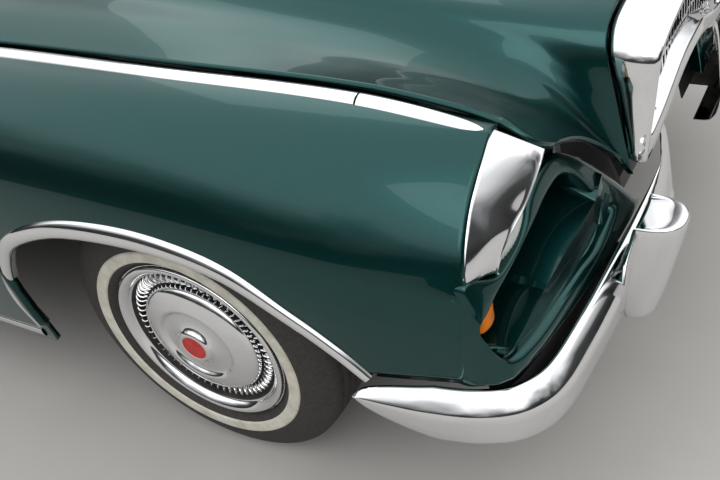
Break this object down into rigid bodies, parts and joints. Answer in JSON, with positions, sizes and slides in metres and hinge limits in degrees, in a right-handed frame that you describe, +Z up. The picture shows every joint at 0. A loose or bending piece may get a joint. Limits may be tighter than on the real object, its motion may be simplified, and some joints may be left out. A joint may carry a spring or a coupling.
{
  "type": "two-door hardtop motor car of the 1950s",
  "caption": "Low two-door hardtop car of the 1950s with an upright grille, a raised bonnet, chrome bumpers with guards, opening doors, hood and boot lid, steering and rolling wheels.",
  "frame": {"origin": "on the ground under the middle of the car's length and width", "axes": "+Z up, -Y the car's front, +X the car's left"},
  "size_m": [1.8174, 5.1805, 1.3898],
  "materials": {
    "paint": "gloss metallic",
    "chrome": "polished",
    "clear_glass": "clear",
    "lamp_glass": "ribbed",
    "amber": "gloss",
    "red_lens": "gloss",
    "black_steel": "satin",
    "engine_iron": "rough",
    "cloth": "woven",
    "dash_plastic": "satin",
    "tyre": "matte",
    "wheel_steel": "polished"
  },
  "bodies": {
    "body": {"wing_left": "paint", "wing_right": "paint", "quarter_left": "paint", "quarter_right": "paint", "cowl": "paint", "roof": "paint", "deck": "paint", "tail_panel": "paint", "front_pan": "paint", "grille_shell": "chrome", "grille_insert": "chrome", "bumper_front": "chrome", "bumper_rear": "chrome", "headlamp_bezels": "chrome", "windscreen": "clear_glass", "rear_window": "clear_glass", "quarter_glass": "clear_glass", "headlamps": "lamp_glass", "turn_lamps": "amber", "tail_lamps": "red_lens", "chassis_frame": "black_steel", "underbody": "black_steel", "front_suspension": "black_steel", "driveline": "black_steel", "exhaust": "black_steel", "fuel_tank": "black_steel", "radiator": "black_steel", "engine": "engine_iron", "front_seat": "cloth", "rear_seat": "cloth", "dashboard": "dash_plastic"},
    "hood": {"hood": "paint"},
    "boot_lid": {"boot_lid": "paint"},
    "steering_wheel": {"steering_wheel": "dash_plastic"},
    "knuckle_left": {"knuckle_left": "black_steel"},
    "knuckle_right": {"knuckle_right": "black_steel"},
    "door_left": {"door_left": "paint", "door_glass_left": "clear_glass"},
    "door_right": {"door_right": "paint", "door_glass_right": "clear_glass"},
    "wheel_front_left": {"tyre_front_left": "tyre", "wheel_front_left": "wheel_steel"},
    "wheel_front_right": {"tyre_front_right": "tyre", "wheel_front_right": "wheel_steel"},
    "wheel_rear_left": {"tyre_rear_left": "tyre", "wheel_rear_left": "wheel_steel"},
    "wheel_rear_right": {"tyre_rear_right": "tyre", "wheel_rear_right": "wheel_steel"}
  },
  "joints": [
    {"name": "door_left_hinge", "type": "hinge", "parent": "body", "child": "door_left", "pos_m": [0.902, -0.76, 0.6], "axis": [0, 0, -1], "range_deg": [0, 65]},
    {"name": "door_right_hinge", "type": "hinge", "parent": "body", "child": "door_right", "pos_m": [-0.902, -0.76, 0.6], "axis": [0, 0, 1], "range_deg": [0, 65]},
    {"name": "hood_hinge", "type": "hinge", "parent": "body", "child": "hood", "pos_m": [0, -0.905, 0.99], "axis": [-1, 0, 0], "range_deg": [0, 50]},
    {"name": "boot_hinge", "type": "hinge", "parent": "body", "child": "boot_lid", "pos_m": [0, 1.338, 0.968], "axis": [1, 0, 0], "range_deg": [0, 60]},
    {"name": "steer_left", "type": "hinge", "parent": "body", "child": "knuckle_left", "pos_m": [0.64, -1.67, 0.335], "axis": [0, 0, 1], "range_deg": [-30, 30]},
    {"name": "steer_right", "type": "hinge", "parent": "body", "child": "knuckle_right", "pos_m": [-0.64, -1.67, 0.335], "axis": [0, 0, 1], "range_deg": [-30, 30]},
    {"name": "steering_wheel_turn", "type": "hinge", "parent": "body", "child": "steering_wheel", "pos_m": [0.36, -0.33, 0.8], "axis": [0, 0.9063, 0.4226], "range_deg": [-420, 420]},
    {"name": "roll_front_left", "type": "hinge", "parent": "knuckle_left", "child": "wheel_front_left", "pos_m": [0.722, -1.67, 0.335], "axis": [1, 0, 0], "continuous": true},
    {"name": "roll_front_right", "type": "hinge", "parent": "knuckle_right", "child": "wheel_front_right", "pos_m": [-0.722, -1.67, 0.335], "axis": [1, 0, 0], "continuous": true},
    {"name": "roll_rear_left", "type": "hinge", "parent": "body", "child": "wheel_rear_left", "pos_m": [0.722, 1.391, 0.335], "axis": [1, 0, 0], "continuous": true},
    {"name": "roll_rear_right", "type": "hinge", "parent": "body", "child": "wheel_rear_right", "pos_m": [-0.722, 1.391, 0.335], "axis": [1, 0, 0], "continuous": true}
  ],
  "couplings": [
    {"joint": "steer_right", "follows": "steer_left", "ratio": 1},
    {"joint": "steering_wheel_turn", "follows": "steer_left", "ratio": 14}
  ]
}
